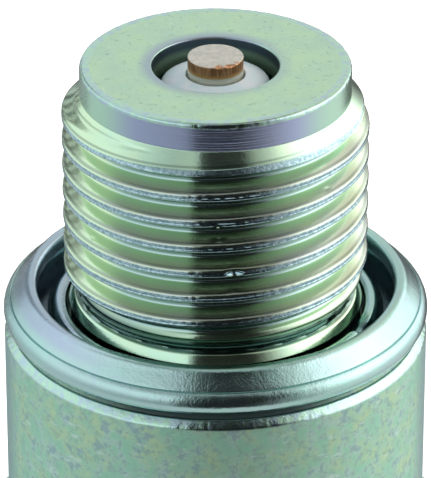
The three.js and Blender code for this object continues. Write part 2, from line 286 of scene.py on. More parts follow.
def shell():
    """Ring face, thread, barrel, hexagon and crimped rim outside; the stepped bore inside."""
    face_z, hole_r, pilot_r, pilot_end, rim_z = in_mm(FACE_Z, HOLE_R, PILOT_R, PILOT_END, RIM_Z)
    neck_r, flare_r, flare_end, barrel_r, barrel_end = in_mm(NECK_R, FLARE_R, FLARE_END, BARREL_R, BARREL_END)
    step_z, chamfer, edge_z = in_mm(-SEAT_STEP, BARREL_CHAMFER, BARREL_EDGE)
    flat_r, corner_r, hex_start, hex_end = in_mm(FLAT_R, CORNER_R, HEX_START, HEX_END)
    corner_drop = (corner_r - flat_r) * math.tan(math.radians(30))
    seat_r = 9.15
    groove_r = 8.9
    ring_end = face_z - 1.2
    chamber_r, chamber_end = 3.9, 3.4
    stem_bore_r, stem_bore_start, stem_bore_end = 5.1, 2.2, -3.4
    body_bore_r, body_bore_start = 7.2, -5.5
    rim_hole_r, rim_lip = 5.75, 0.5
    face = [
        (hole_r, ring_end, 0),
        (hole_r, face_z, 0.1),
        (pilot_r, face_z, 0.17),
        (pilot_r, pilot_end, 0),
    ]
    barrel = [
        (flare_r, flare_end, 0),
        (neck_r, 0.75, 0.1),
        (neck_r, 0, 0.25),
        (seat_r, 0, 0.05),
        (seat_r + 0.15, step_z, 0.05),
        (barrel_r - chamfer, step_z, 0.08),
        (barrel_r, edge_z, 0.1),
        (barrel_r, barrel_end, 0.15),
        (groove_r, barrel_end - 0.4, 0.2),
        (groove_r - 0.12, barrel_end - 1.2, 0.3),
        (groove_r, hex_start, 0),
    ]
    hexagon = [
        (groove_r, hex_start, 0),
        (flat_r, hex_start, 0.06),
        (corner_r, hex_start - corner_drop, 0.2),
        (corner_r, hex_end + corner_drop, 0.2),
        (flat_r, hex_end, 0.06),
        (groove_r, hex_end, 0),
    ]
    rim_and_bore = [
        (groove_r, hex_end, 0),
        (groove_r, rim_z, 2.4),
        (rim_hole_r, rim_z, 0.15),
        (rim_hole_r, rim_z + rim_lip, 0.05),
        (body_bore_r, rim_z + 1.3, 0.1),
        (body_bore_r, body_bore_start, 0.1),
        (stem_bore_r, stem_bore_end, 0.1),
        (stem_bore_r, stem_bore_start, 0.05),
        (chamber_r, chamber_end, 0.05),
        (chamber_r, ring_end, 0.1),
        (hole_r, ring_end, 0),
    ]
    parts = [
        rows_of(rounded(face), 0.1 * MM, SHELL_COLUMNS),
        threaded_rows(),
        rows_of(rounded(barrel), 0.4 * MM, SHELL_COLUMNS),
        hexagonal(rows_of(rounded(hexagon), 0.2 * MM, SHELL_COLUMNS)),
        rows_of(rounded(rim_and_bore, 8), 1.0 * MM, SHELL_COLUMNS),
    ]
    radii, heights = joined(parts)
    return grid_piece("plated_shell", radii - edge_dents(radii, heights), heights, sharp=40)


def edge_dents(radii, heights):
    """Small dents along the edges that knock against other plugs in the plating barrel."""
    face_edge = (PILOT_R, FACE_Z - 0.1 * MM, 0.16 * MM)
    barrel_edge = (BARREL_R, BARREL_EDGE + 0.13 * MM, 0.25 * MM)
    deepest = 0.035 * MM
    dents = np.zeros_like(radii)
    for r, z, reach in (face_edge, barrel_edge):
        near = (np.abs(radii - r) < 0.4 * MM) & (np.abs(heights - z) < reach)
        dents += near * np.clip(lumps(radii, heights, 0.3 * MM, seed=3.0), 0, 1) * deepest
    return dents


# ---- gasket ----

def arc(r, z, radius, start, end, steps):
    """Sharp outline corners along an arc in the (radius, z) plane, angles in degrees from outwards."""
    angles = [math.radians(start + (end - start) * k / steps) for k in range(steps + 1)]
    return [(r + radius * math.cos(a), z + radius * math.sin(a), 0) for a in angles]


def gasket():
    """Sheet folded into a ring: outer fold, seam, top layer that slopes up to a ridge and is hemmed at its
    inner edge, and a turned-up inner lip that is bent down at one place."""
    gasket_r, top = in_mm(GASKET_R, GASKET_TOP)
    sheet = 0.4
    underside = 0.02
    fold = 0.6
    fold_r, fold_z = gasket_r - fold, underside + fold
    seam_r, seam_z = 9.34, 1.09
    ridge, ridge_r = 0.45, 8.45
    hem, hem_r = 0.2, 8.4
    hem_z = top - hem
    lip_r, lip_top, bend_r = 6.82, 1.0, 7.0
    outline = [
        (bend_r, underside, 0),
        *arc(fold_r, fold_z, fold, -90, 58, 14),
        (seam_r, seam_z, 0.02),
        (seam_r + 0.03, seam_z + 0.1, 0.02),
        *arc(ridge_r, top - ridge, ridge, 36, 90, 8),
        *arc(hem_r, hem_z, hem, 90, 180, 8),
        (hem_r - hem, 1.22, 0.06),
        (8.45, 1.2, 0.08),
        (8.5, hem_z - 0.25, 0.1),
        (8.95, 1.1, 0.1),
        *arc(fold_r, fold_z, fold - sheet, 90, -90, 8),
        (7.6, sheet, 0.15),
        (7.35, lip_top - 0.02, 0.12),
        (7.1, lip_top, 0.1),
        (lip_r, lip_top - 0.1, 0.12),
        (lip_r, 0.3, 0.15),
        (bend_r, underside, 0),
    ]
    radii, heights = rows_of(rounded(outline, 5), 0.2 * MM, 360)
    columns = radii.shape[1]
    wave = 0.03 * MM * np.sin(3 * column_angles(columns) + 0.6) * smooth(0.9 * MM, GASKET_TOP, heights)
    dents = lumps(radii, heights, 0.5 * MM, seed=11.0) * 0.012 * MM * smooth(8.0 * MM, 8.6 * MM, radii)
    on_lip = (radii < 7.7 * MM) * smooth(0.35 * MM, 0.9 * MM, heights)
    bend_angle, bend_width, bend_in, bend_down = 338, 4, 0.25 * MM, 0.45 * MM
    bent_lip = on_lip * near_angle(columns, bend_angle, bend_width)
    radii = radii - bent_lip * bend_in + np.minimum(dents, 0)
    heights = np.minimum(heights + wave - bent_lip * bend_down, GASKET_TOP)
    return grid_piece("captive_gasket_ring", radii, heights)


# ---- insulator ----

def insulator():
    """Domed nose, stepped body, flange and ribbed stem, hollow for the electrode and the stud."""
    nose_top, nose_r, end, face_z = in_mm(NOSE_TOP, NOSE_R, INSULATOR_END, FACE_Z)
    bore_r, nose_bore_r, bore_step = 2.0, 1.34, -2.0
    nose_edge = nose_top - 0.35
    nose_foot_r, body_r, flange_r, stem_r = 3.6, 4.95, 6.9, 5.45
    rib_r, rib_depth, rib_pitch, rib_start = 5.15, 0.45, 2.2, -24.6
    ribs = []
    for z in (rib_start - rib_pitch * i for i in range(5)):
        ribs += [
            (rib_r, z + 0.72, 0.3),
            (rib_r - rib_depth, z + 0.34, 0.25),
            (rib_r - rib_depth, z - 0.34, 0.25),
            (rib_r, z - 0.72, 0.3),
        ]
    outline = [
        (bore_r, bore_step, 0),
        (nose_bore_r, bore_step, 0.02),
        (nose_bore_r, nose_top, 0.05),
        ((nose_r + nose_bore_r) / 2, (nose_edge + 2 * nose_top) / 3, 0.4),
        (nose_r, nose_edge - 0.05, 0.2),
        (nose_r, face_z - 1.8, 0.3),
        (nose_foot_r, 3.9, 0.3),
        (nose_foot_r, 3.13, 0.1),
        (body_r, 1.78, 0.1),
        (body_r, -4.55, 0.2),
        (flange_r, -6.5, 0.3),
        (flange_r, -14.6, 0.2),
        (stem_r, -15.5, 0.2),
        (stem_r, -22.9, 0.4),
        *ribs,
        (3.9, end, 0.4),
        (bore_r, end, 0.1),
        (bore_r, bore_step, 0),
    ]
    radii, heights = rows_of(rounded(outline, 5), 0.8 * MM, 160)
    return grid_piece("ceramic_insulator", radii, heights)


# ---- electrode and terminal ----

def electrode():
    """Nickel pin, torn at the front of its rim where it was cut off."""
    r, tip, head_end = in_mm(ELECTRODE_R, TIP_Z, HEAD_END)
    core_r, head_r, head_top = 0.8, 1.85, -2.05
    outline = [
        (core_r, head_end, 0),
        (head_r, head_end, 0.1),
        (head_r, head_top, 0.1),
        (r, head_top, 0.05),
        (r, tip - 1.2, 0),
        (r, tip, 0.04),
        (0.0, tip, 0),
        (0.0, tip - 1.8, 0),
        (core_r, tip - 2.55, 0),
        (core_r, head_end, 0),
    ]
    radii, heights = rows_of(rounded(outline), 0.08 * MM, 160)
    at_rim = smooth(TIP_Z - 0.25 * MM, TIP_Z - 0.02 * MM, heights)
    front = near_angle(radii.shape[1], 292, 34)
    torn = 0.05 * MM + 0.09 * MM * lumps(radii, heights, 0.2 * MM, seed=7.0)
    outer = smooth(0.62 * ELECTRODE_R, ELECTRODE_R, radii)
    heights = np.minimum(heights - at_rim * outer * front * torn, TIP_Z)
    return grid_piece("centre_electrode", radii, heights)


STUD_PITCH = 0.7 * MM
STUD_CREST_R = 1.97 * MM
STUD_CHAMFER = 0.4 * MM


def stud_radius(height, phase):
    """M4 thread on the stud, chamfered at its end."""
    depth = np.clip(np.abs(phase) / (STUD_PITCH / 2) * 1.2 - 0.15, 0, 1) * 0.38 * MM
    tip_chamfer = STUD_CREST_R - STUD_CHAMFER + (height - STUD_END)
    return np.minimum(STUD_CREST_R - depth, tip_chamfer)


def stud():
    """Shank in the insulator, collar against its end and M4 thread for the nut."""
    top, end, insulator_end, end_r = in_mm(STUD_TOP, STUD_END, INSULATOR_END, STUD_CREST_R - STUD_CHAMFER)
    shank_r, collar_r = 1.6, 2.9
    collar_top = insulator_end - 0.05
    collar_end = collar_top - 0.8
    shank = [
        (0.0, top, 0),
        (shank_r, top, 0.1),
        (shank_r, collar_top, 0),
        (collar_r, collar_top, 0.1),
        (collar_r, collar_end, 0.1),
        (shank_r, collar_end, 0),
    ]
    end_face = [(end_r, end, 0), (0.0, end, 0)]
    columns = 96
    parts = [
        rows_of(rounded(shank), 1.0 * MM, columns),
        wound_rows(stud_radius, STUD_PITCH, STUD_END, collar_end * MM, STUD_END, columns, 10),
        rows_of(rounded(end_face), 0.4 * MM, columns),
    ]
    radii, heights = joined(parts)
    return grid_piece("threaded_terminal_stud", radii, heights, sharp=50)


def terminal_nut():
    """Plug-cap nut: flange, waist and a wider end."""
    top, end, nut_r, flange_r = in_mm(NUT_TOP, NUT_END, NUT_R, NUT_FLANGE_R)
    bore_r, waist_r = 2.03, 2.65
    flange_end = top - 1.6
    waist_end = flange_end - 2.0
    outline = [
        (bore_r, end, 0),
        (nut_r, end, 0.6),
        (nut_r, waist_end - nut_r + waist_r, 0.15),
        (waist_r, waist_end, 0.2),
        (waist_r, flange_end, 0.25),
        (flange_r, flange_end, 0.3),
        (flange_r, top, 0.2),
        (bore_r, top, 0),
        (bore_r, end, 0),
    ]
    radii, heights = rows_of(rounded(outline, 6), 0.3 * MM, 144)
    return grid_piece("cap_terminal_nut", radii, heights)


# ---- materials ----

class Shader:
    """A material's or world's node tree, with short ways to add and join nodes. A Mix node has its numbers in
    inputs 2 and 3, and its colours in inputs 6 and 7 and output 2."""

    def __init__(self, owner):
        owner.use_nodes = True
        self.tree = owner.node_tree
        self.tree.nodes.clear()

    def node(self, kind, inputs=(), **settings):
        made = self.tree.nodes.new(kind)
        for key, value in settings.items():
            setattr(made, key, value)
        for key, value in dict(inputs).items():
            self.put(made.inputs[key], value)
        return made

    def put(self, socket, value):
        if isinstance(value, bpy.types.NodeSocket):
            self.tree.links.new(value, socket)
        else:
            socket.default_value = value

    def math(self, operation, a, b=0.0):
        return self.node("ShaderNodeMath", {0: a, 1: b}, operation=operation).outputs[0]

    def add(self, a, b):
        return self.math("ADD", a, b)

    def times(self, a, b):
        return self.math("MULTIPLY", a, b)

    def divided(self, a, b):
        return self.math("DIVIDE", a, b)

    def size_of(self, a):
        return self.math("ABSOLUTE", a)

    def either(self, a, b):
        return self.math("MAXIMUM", a, b)

    def step(self, value, low, high):
        """0 at low, 1 at high; low may be the larger."""
        ends = {"Value": value, "From Min": low, "From Max": high}
        return self.node("ShaderNodeMapRange", ends, interpolation_type="SMOOTHSTEP").outputs["Result"]

    def band(self, value, low, high, soft):
        """1 between low and high, with soft edges outside."""
        return self.times(self.step(value, low - soft, low), self.step(value, high + soft, high))

    def blend(self, share, a, b):
        """A number that goes from a to b."""
        return self.node("ShaderNodeMix", {0: share, 2: a, 3: b}, data_type="FLOAT").outputs[0]

    def mix(self, share, a, b):
        """A colour that goes from a to b."""
        first, second = ((*end, 1.0) if isinstance(end, tuple) else end for end in (a, b))
        return self.node("ShaderNodeMix", {0: share, 6: first, 7: second}, data_type="RGBA").outputs[2]

    def noise(self, where, scale, detail=4.0, roughness=0.55):
        inputs = {"Vector": where, "Scale": scale, "Detail": detail, "Roughness": roughness}
        return self.node("ShaderNodeTexNoise", inputs).outputs["Fac"]

    def stretched(self, where, scale):
        """Coordinates multiplied by (x, y, z) factors."""
        return self.node("ShaderNodeVectorMath", {0: where, 1: scale}, operation="MULTIPLY").outputs[0]

    def mottled(self, where, scale, a, b, contrast=0.12, seed=0.0):
        """Patches of two colours."""
        moved = self.node("ShaderNodeVectorMath", {0: where, 1: (seed, 0.0, 0.0)}, operation="ADD").outputs[0]
        patches = self.noise(moved, scale, 5.0, 0.6)
        return self.mix(self.step(patches, 0.5 - contrast, 0.5 + contrast), a, b)

    def bump(self, height, distance, normal=None):
        inputs = {"Height": height, "Distance": distance}
        if normal:
            inputs["Normal"] = normal
        return self.node("ShaderNodeBump", inputs).outputs["Normal"]

    def surface(self, **inputs):
        names = {key.replace("_", " "): value for key, value in inputs.items()}
        shader = self.node("ShaderNodeBsdfPrincipled", names)
        self.node("ShaderNodeOutputMaterial", {"Surface": shader.outputs["BSDF"]})


def new_material(name):
    material = bpy.data.materials.new(name)
    shader = Shader(material)
    where = shader.node("ShaderNodeTexCoord").outputs["Object"]
    return material, shader, where


class Place:
    """Where a point of a piece is: x to the right, y backwards, z up the axis, radius from the axis, and
    sideways, which is 0 at the front and back and 1 at the sides."""

    def __init__(self, s, where):
        split = s.node("ShaderNodeSeparateXYZ", {0: where})
        flat = s.stretched(where, (1.0, 1.0, 0.0))
        self.x, self.y, self.z = (split.outputs[k] for k in "XYZ")
        self.radius = s.node("ShaderNodeVectorMath", {0: flat}, operation="LENGTH").outputs["Value"]
        self.sideways = s.divided(s.size_of(self.x), self.radius)


# Tones of the clear chromate film on zinc
MINT = (0.46, 0.71, 0.56)
MOSS = (0.40, 0.71, 0.55)
PALE_MOSS = (0.52, 0.73, 0.64)
DARK_MOSS = (0.33, 0.52, 0.46)
OLIVE = (0.54, 0.73, 0.50)
BLUE_GREY = (0.38, 0.54, 0.60)
STEEL_BLUE = (0.26, 0.40, 0.44)
# Painted shade for the barrel's sides
SIDE_SHADE_SLATE = (0.31, 0.43, 0.46)
LAVENDER = (0.39, 0.45, 0.64)
ROSE_GREY = (0.50, 0.55, 0.52)
PALE_SCALE = (0.44, 0.60, 0.65)
WORN_GREY = (0.62, 0.66, 0.64)
HANDLED_GREY = (0.55, 0.63, 0.60)
SCRATCHED = (0.70, 0.84, 0.82)


def plated_material():
    """Zinc under an iridescent film: mint face, pilot lavender at front and back and mint at the sides as a
    painted sheen, green to rose flanks, scaly pale crests and a dull mottled barrel."""
    material, s, where = new_material("plated_shell_finish")
    at = Place(s, where)
    on = plated_zones(s, where, at)
    colour = plated_colour(s, where, at, on)
    rough = plated_roughness(s, where, on)
    normal = plated_relief(s, where, at, on)
    s.surface(Base_Color=colour, Metallic=1.0, Roughness=rough, Normal=normal)
    return material


def plated_zones(s, where, at):
    """The shell's zones and features, each as a share that is 1 on it and 0 off it."""
    on = SimpleNamespace()
    on.above_barrel = s.step(at.z, -0.02 * MM, 0.02 * MM)
    on.above_neck = s.step(at.z, NECK_END - 0.1 * MM, NECK_END + 0.1 * MM)
    on.cone = s.step(at.z, PILOT_END - 0.85 * MM, PILOT_END - 0.75 * MM)
    on.pilot = s.step(at.z, PILOT_END - 0.03 * MM, PILOT_END + 0.03 * MM)
    on.face = s.step(at.z, FACE_Z - 0.04 * MM, FACE_Z - 0.01 * MM)
    in_hole = s.step(at.radius, HOLE_R + 0.03 * MM, HOLE_R)
    on.hole = s.times(in_hole, s.step(at.z, FACE_Z - 0.02 * MM, FACE_Z - 0.1 * MM))
    on.crest, on.crease = thread_marks(s, at, on)
    on.low_neck, on.shade = shaded_places(s, at, on)
    on.halo = halo_round_hole(s, at, on)
    on.edges = bright_edges(s, at, on)
    corners = s.step(at.radius, CORNER_R - 0.4 * MM, CORNER_R - 0.1 * MM)
    on.worn = s.times(corners, s.step(s.noise(where, 1500.0), 0.4, 0.6))
    return on


def thread_marks(s, at, on):
    """The crests, and a darkened band just above each of them. Both wind round with the thread: phase is the
    height above the nearest crest, a little more on the cone."""
    turn = s.times(s.math("ARCTAN2", at.y, at.x), 0.5 / math.pi)
    threads = s.math("SUBTRACT", s.times(s.add(at.z, -FRONT_CREST - PITCH / 4), 1 / PITCH), turn)
    phase = s.times(s.add(s.math("FRACT", s.add(threads, 0.5)), -0.5), PITCH)
    phase = s.add(phase, s.times(on.cone, 0.07 * MM))
    threaded = s.times(on.above_neck, s.step(at.radius, CREST_R - 0.5 * MM, CREST_R - 0.4 * MM))
    crest = s.times(threaded, s.band(phase, -0.13 * MM, 0.10 * MM, 0.03 * MM))
    crest = s.times(crest, s.step(at.radius, CREST_R - 0.36 * MM, CREST_R - 0.26 * MM))
    crease = s.times(threaded, s.band(phase, 0.20 * MM, 0.23 * MM, 0.05 * MM))
    return crest, crease


def shaded_places(s, at, on):
    """Painted shade on the neck below the thread; and painted shade where the gasket's shade falls: under its
    lip and, most of all at the front and back, in the step under its fold."""
    low_neck = s.times(s.step(at.z, NECK_END + 0.75 * MM, NECK_END + 0.45 * MM), on.above_barrel)
    low_neck = s.times(low_neck, s.step(at.radius, NECK_R + 0.01 * MM, NECK_R - 0.07 * MM))
    under_lip = s.times(s.step(at.z, 1.0 * MM, 0.8 * MM), on.above_barrel)
    step_end = BARREL_R - BARREL_CHAMFER
    under_fold = s.times(s.band(at.z, -SEAT_STEP - 0.03 * MM, 0.05 * MM, 0.03 * MM),
                         s.step(at.radius, step_end + 0.07 * MM, step_end + 0.01 * MM))
    from_middle = s.step(s.size_of(at.x), 3 * MM, 7 * MM)
    under_fold = s.times(under_fold, s.blend(from_middle, 1.0, 0.3))
    return low_neck, s.either(under_lip, under_fold)


def halo_round_hole(s, at, on):
    """A bluish stain round the hole in the face, with painted light making it stronger at the far left."""
    painted_light_far_left = s.step(s.add(at.x, s.times(at.y, -0.6)), 2.5 * MM, -1.5 * MM)
    halo = s.times(on.face, s.step(at.radius, HOLE_R + 0.8 * MM, HOLE_R + 0.1 * MM))
    return s.times(halo, s.blend(painted_light_far_left, 0.35, 0.9))


def bright_edges(s, at, on):
    """The knocked edges of the ring face and the barrel."""
    face_corner = FACE_Z + PILOT_R / 2
    slanted = s.add(at.z, s.times(at.radius, 0.5))
    face_edge = s.band(slanted, face_corner - 0.2 * MM, face_corner - 0.08 * MM, 0.05 * MM)
    step_end = BARREL_R - BARREL_CHAMFER
    barrel_edge = s.times(s.band(at.z, BARREL_EDGE, -SEAT_STEP - 0.02 * MM, 0.08 * MM),
                          s.step(at.radius, step_end - 0.02 * MM, step_end + 0.03 * MM))
    return s.either(s.times(on.pilot, face_edge), barrel_edge)


def plated_colour(s, where, at, on):
    """The tones of the shell's zones, each laid over the ones before."""
    crease = (0.10, 0.14, 0.13)
    neck_painted_shade = (0.16, 0.25, 0.24)
    shade = (0.10, 0.14, 0.14)
    stain = (0.36, 0.46, 0.55)
    hole_rim_shade, hole_wall_shade = (0.06, 0.09, 0.11), (0.32, 0.46, 0.34)
    bright = s.mottled(where, 260.0, (0.52, 0.76, 0.60), (0.62, 0.80, 0.54), 0.2)
    # painted sheen: the pilot's tint goes from lavender at front and back to mint at the sides, as the film's
    # tint changes with viewing angle
    pilot = s.mix(s.step(at.sideways, 0.55, 0.85), LAVENDER, MINT)
    scaly = s.mottled(where, 6500.0, STEEL_BLUE, PALE_SCALE, 0.1)
    knocked = s.mottled(where, 2500.0, MINT, PALE_SCALE)
    # painted shade in the hole: darkest near its rim, less dark deeper down
    hole = s.mix(s.step(at.z, FACE_Z - 0.35 * MM, FACE_Z - 0.75 * MM), hole_rim_shade, hole_wall_shade)
    colour = s.mix(on.above_barrel, dull_colour(s, where, at), bright)
    colour = s.mix(on.above_neck, colour, flank_colour(s, where, at))
    colour = s.mix(on.cone, colour, bright)
    colour = s.mix(on.crest, colour, scaly)
    colour = s.mix(s.times(on.crease, 0.5), colour, crease)
    # painted shade on the neck below the thread
    colour = s.mix(s.times(on.low_neck, 0.85), colour, neck_painted_shade)
    # painted shade under the gasket's lip and in the step under its fold
    colour = s.mix(on.shade, colour, shade)
    colour = s.mix(on.pilot, colour, pilot)
    colour = s.mix(on.face, colour, face_colour(s, where))
    # bluish stain round the hole, made stronger at the far left by painted light
    colour = s.mix(on.halo, colour, stain)
    colour = s.mix(on.hole, colour, hole)
    colour = s.mix(on.edges, colour, knocked)
    return s.mix(s.times(on.worn, 0.8), colour, WORN_GREY)


def dull_colour(s, where, at):
    """Barrel and hexagon: clouded, flecked and scratched, darker and bluer at the sides from painted shade,
    greyed by handling below.
    """
    mossy = s.mottled(where, 1500.0, MOSS, PALE_MOSS, 0.08)
    olive = s.mottled(where, 1800.0, OLIVE, MINT, 0.08)
    colour = s.mix(s.step(s.noise(where, 600.0), 0.42, 0.62), mossy, olive)
    clouds = s.step(s.noise(where, 1500.0, 4.0, 0.65), 0.53, 0.66)
    colour = s.mix(s.times(clouds, 0.8), colour, BLUE_GREY)
    flecks = s.step(s.noise(where, 3000.0, 4.0, 0.7), 0.48, 0.6)
    colour = s.mix(s.times(flecks, 0.5), colour, DARK_MOSS)
    scratches = s.noise(s.stretched(where, (900.0, 900.0, 3500.0)), 1.0, 4.0, 0.7)
    colour = s.mix(s.times(s.step(scratches, 0.60, 0.68), 0.6), colour, SCRATCHED)
    side_shade_share = s.step(at.sideways, 0.92, 1.0)
    # painted shade: darker and bluer at the sides
    colour = s.mix(s.times(side_shade_share, 0.85), colour, SIDE_SHADE_SLATE)
    handled = s.step(at.z, BARREL_END + 1 * MM, BARREL_END)
    return s.mix(s.times(handled, 0.5), colour, HANDLED_GREY)


def flank_colour(s, where, at):
    """Thread flanks: bluish in the root, then green, then rose at the crest, and yellower at the left from
    painted light.
    """
    green = (0.50, 0.70, 0.50)
    bluish = (0.42, 0.60, 0.58)
    straw = (0.54, 0.64, 0.46)
    yellow = (0.62, 0.80, 0.56)
    rose = s.mottled(where, 260.0, ROSE_GREY, straw, 0.2)
    colour = s.mix(s.step(at.radius, ROOT_R + 0.1 * MM, CREST_R - 0.15 * MM), green, rose)
    colour = s.mix(s.step(at.radius, ROOT_R + 0.1 * MM, ROOT_R), colour, bluish)
    painted_light_at_left = s.step(s.divided(at.x, at.radius), -0.62, -0.8)
    # painted light: yellower at the left
    return s.mix(painted_light_at_left, colour, yellow)


def face_colour(s, where):
    """Ring face: faint patches with dark specks and pale glints."""
    speck = (0.26, 0.40, 0.36)
    glint = (0.72, 0.86, 0.72)
    colour = s.mottled(where, 700.0, (0.46, 0.69, 0.56), (0.54, 0.76, 0.52), 0.3)
    specks = s.step(s.noise(where, 3800.0, 3.0, 0.7), 0.58, 0.68)
    colour = s.mix(s.times(specks, 0.55), colour, speck)
    glints = s.step(s.noise(s.stretched(where, (5000.0, 2500.0, 5000.0)), 1.0, 3.0, 0.7), 0.62, 0.70)
    return s.mix(s.times(glints, 0.5), colour, glint)


def plated_roughness(s, where, on):
    """Matt barrel, satin face and hole, glossy thread, edges and worn corners."""
    rough = s.blend(on.above_barrel, 0.55, 0.1)
    rough = s.blend(on.face, rough, 0.3)
    rough = s.blend(on.crest, rough, 0.12)
    rough = s.blend(on.pilot, rough, s.blend(on.face, 0.2, 0.3))
    rough = s.blend(on.hole, rough, 0.4)
    rough = s.blend(s.either(on.edges, on.worn), rough, 0.12)
    return s.add(rough, s.times(s.noise(where, 1800.0), 0.08))


def plated_relief(s, where, at, on):
    """Turning lines round the thread and pilot, grain mostly on the barrel, scales on crests and edges."""
    along = s.blend(on.pilot, at.radius, at.z)
    lines = s.node("ShaderNodeCombineXYZ", {"X": s.times(at.x, 90.0), "Z": s.times(along, 9000.0)}).outputs[0]
    turned = s.times(on.above_barrel, s.step(on.face, 1.0, 0.0))
    turning = s.times(s.noise(lines, 1.0, 2.0), turned)
    grain = s.noise(where, 5200.0, 3.0)
    scales = s.noise(where, 6500.0, 3.0, 0.7)
    normal = s.bump(s.times(turning, s.blend(on.pilot, 0.2, 1.6)), 0.010 * MM)
    normal = s.bump(s.times(grain, s.blend(on.above_barrel, 1.0, 0.25)), 0.010 * MM, normal)
    return s.bump(s.times(scales, s.either(on.crest, on.edges)), 0.009 * MM, normal)


def gasket_material():
    """The same film on cold-rolled sheet: satin, mint to lavender, with a fine sparkle; painted light makes
    it violet at the left and painted shade darker and bluer at its sides; painted shade inside the ring,
    lighter on its lip."""
    material, s, where = new_material("gasket_finish")
    at = Place(s, where)
    patches = s.mottled(where, 190.0, (0.42, 0.72, 0.63), (0.44, 0.62, 0.62), 0.14, seed=0.02)
    violet = (0.42, 0.48, 0.64)
    side_painted_shade = (0.30, 0.42, 0.48)
    inside_painted_shade = (0.08, 0.11, 0.13)
    painted_light_at_left = s.times(s.step(at.radius, 9.3 * MM, 9.0 * MM), s.step(at.x, -4.0 * MM, -7.5 * MM))
    # painted light: violet at the left
    colour = s.mix(s.times(painted_light_at_left, 0.8), patches, violet)
    colour = s.mix(s.step(s.noise(where, 1400.0), 0.55, 0.8), colour, PALE_SCALE)
    side_shade_share = s.step(at.sideways, 0.72, 0.98)
    # painted shade: darker and bluer at the sides
    colour = s.mix(s.times(side_shade_share, 0.45), colour, side_painted_shade)
    recess = s.times(s.step(at.radius, 8.22 * MM, 8.08 * MM), s.step(at.radius, 7.3 * MM, 7.7 * MM))
    recess = s.either(recess, s.step(at.z, 0.9 * MM, 0.6 * MM))
    recess = s.times(recess, s.step(at.radius, 9.0 * MM, 8.8 * MM))
    on_lip = s.step(at.radius, 7.55 * MM, 7.4 * MM)
    # painted shade inside the ring, lighter and steel blue on the lip
    colour = s.mix(recess, colour, s.mix(on_lip, inside_painted_shade, STEEL_BLUE))
    rough = s.add(0.15, s.times(s.noise(where, 1200.0), 0.1))
    normal = s.bump(s.noise(where, 9000.0, 3.0), 0.010 * MM)
    normal = s.bump(s.noise(where, 2200.0, 2.0), 0.008 * MM, normal)
    s.surface(Base_Color=colour, Metallic=1.0, Roughness=rough, Normal=normal)
    return material


def ceramic_material():
    """Glazed alumina outside the shell, bare and matt at the nose and inside."""
    material, s, where = new_material("ceramic_finish")
    z = s.node("ShaderNodeSeparateXYZ", {0: where}).outputs["Z"]
    glazed = s.step(z, -21 * MM, -22 * MM)
    bare = s.mottled(where, 900.0, (0.72, 0.90, 0.97), (0.84, 0.92, 0.98))
    colour = s.mix(glazed, bare, s.mottled(where, 250.0, (0.49, 0.50, 0.51), (0.54, 0.54, 0.53)))
    rough = s.blend(glazed, 0.42, 0.1)
    normal = s.bump(s.noise(where, 7000.0, 2.0), 0.004 * MM)
    s.surface(Base_Color=colour, Roughness=rough, Normal=normal, Specular_IOR_Level=0.6)
    return material


def nickel_material():
    """Heat-tinted nickel: beige tip face, orange-brown rim, paler lower down."""
    material, s, where = new_material("electrode_finish")
    z = s.node("ShaderNodeSeparateXYZ", {0: where}).outputs["Z"]
    tint = s.step(z, TIP_Z - 0.62 * MM, TIP_Z - 0.5 * MM)
    face = s.step(z, TIP_Z - 0.04 * MM, TIP_Z - 0.01 * MM)
    amber = s.times(tint, s.step(z, TIP_Z - 0.4 * MM, TIP_Z - 0.5 * MM))
    streaks = s.noise(s.stretched(where, (9000.0, 9000.0, 1200.0)), 1.0, 3.0)
    burnt = s.mix(s.step(streaks, 0.4, 0.6), (0.42, 0.20, 0.09), (0.70, 0.38, 0.20))
    side = s.mix(tint, (0.78, 0.74, 0.62), burnt)
    side = s.mix(amber, side, (0.72, 0.40, 0.13))
    top = s.mottled(where, 2600.0, (0.54, 0.54, 0.50), (0.66, 0.64, 0.58))
    grain = s.noise(where, 8000.0, 3.0)
    rough = s.add(0.28, s.times(grain, 0.2))
    colour = s.mix(face, side, top)
    s.surface(Base_Color=colour, Metallic=0.85, Roughness=rough, Normal=s.bump(grain, 0.006 * MM))
    return material


def plain_material(name, dark, light, metallic, roughness, scale=1500.0):
    """Two tones, grain and uneven gloss."""
    material, s, where = new_material(name)
    grain = s.noise(where, scale * 4, 4.0)
    rough = s.add(roughness, s.times(s.noise(where, scale), 0.15))
    colour = s.mottled(where, scale, dark, light)
    s.surface(Base_Color=colour, Metallic=metallic, Roughness=rough, Normal=s.bump(grain, 0.008 * MM))
    return material


# ---- studio ----

GAP_LIGHT = 0.02


def world():
    """Softboxes left and right with a dark gap where the camera stands, a dim ceiling and a bright table.
    Azimuth is 0 towards the camera and positive to the right; both angles are in degrees."""
    made = bpy.data.worlds.new("studio")
    bpy.context.scene.world = made
    s = Shader(made)
    split = s.node("ShaderNodeSeparateXYZ", {0: s.node("ShaderNodeTexCoord").outputs["Generated"]})
    x, y, z = (split.outputs[k] for k in "XYZ")
    degrees = 180 / math.pi
    azimuth = s.times(s.math("ARCTAN2", x, s.times(y, -1.0)), degrees)
    elevation = s.times(s.math("ARCSINE", z), degrees)
    warm_lamp = s.times(s.step(azimuth, 110.0, 128.0), s.step(elevation, 22.0, 34.0))
    in_front = s.times(s.step(azimuth, -22.0, -18.0), s.step(azimuth, 60.0, 30.0))
    to_ceiling = s.blend(in_front, s.step(elevation, 36.0, 72.0), s.step(elevation, 64.0, 76.0))
    table, table_light = s.step(elevation, -30.0, -42.0), 0.74
    light = s.blend(to_ceiling, side_light(s, azimuth, elevation, warm_lamp), ceiling_light(s, x, y))
    light = s.blend(table, light, table_light)
    light = s.blend(s.node("ShaderNodeLightPath").outputs["Is Camera Ray"], light, 1.0)
    colour = s.mix(s.step(x, 0.6, -0.6), (1.0, 0.985, 0.97), (0.93, 0.985, 1.0))
    colour = s.mix(warm_lamp, colour, (1.0, 0.94, 0.82))
    background = s.node("ShaderNodeBackground", {"Color": colour, "Strength": light})
    s.node("ShaderNodeOutputWorld", {"Surface": background.outputs[0]})


